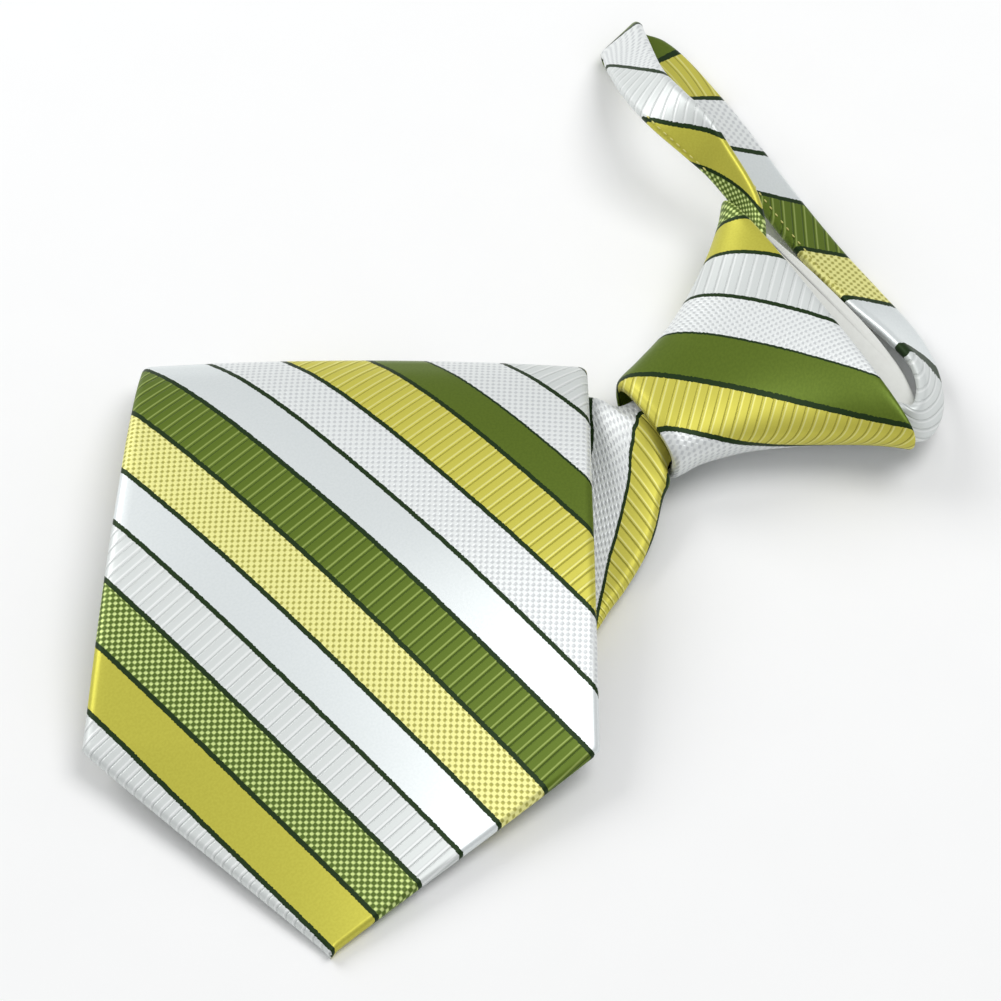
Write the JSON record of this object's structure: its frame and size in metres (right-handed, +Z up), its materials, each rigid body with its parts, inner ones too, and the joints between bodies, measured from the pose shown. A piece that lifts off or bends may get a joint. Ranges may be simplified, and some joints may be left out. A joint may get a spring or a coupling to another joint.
{
  "type": "zipper tie",
  "caption": "Ready-tied striped necktie with a zipped neck loop, folded flat: pointed front panel on top, knot beside it and a small open neck loop.",
  "frame": {"origin": "on the surface that the tie lies on, under the middle of its bounding box", "axes": "+Z up from the surface, +Y from the tip of the front panel towards its fold, +X from the panel towards the knot"},
  "size_m": [0.148, 0.202, 0.0219],
  "materials": {
    "striped_silk": "woven silk with a soft sheen, striped in yellow, green and white with dark green lines",
    "zip_tape": "matt woven zip tape with a nylon coil",
    "former_plastic": "satin white moulded plastic"
  },
  "bodies": {
    "root": {"blade": "striped_silk", "knot": "striped_silk", "neck_band": "striped_silk", "zip_tail": "zip_tape", "knot_former": "former_plastic"}
  },
  "joints": []
}
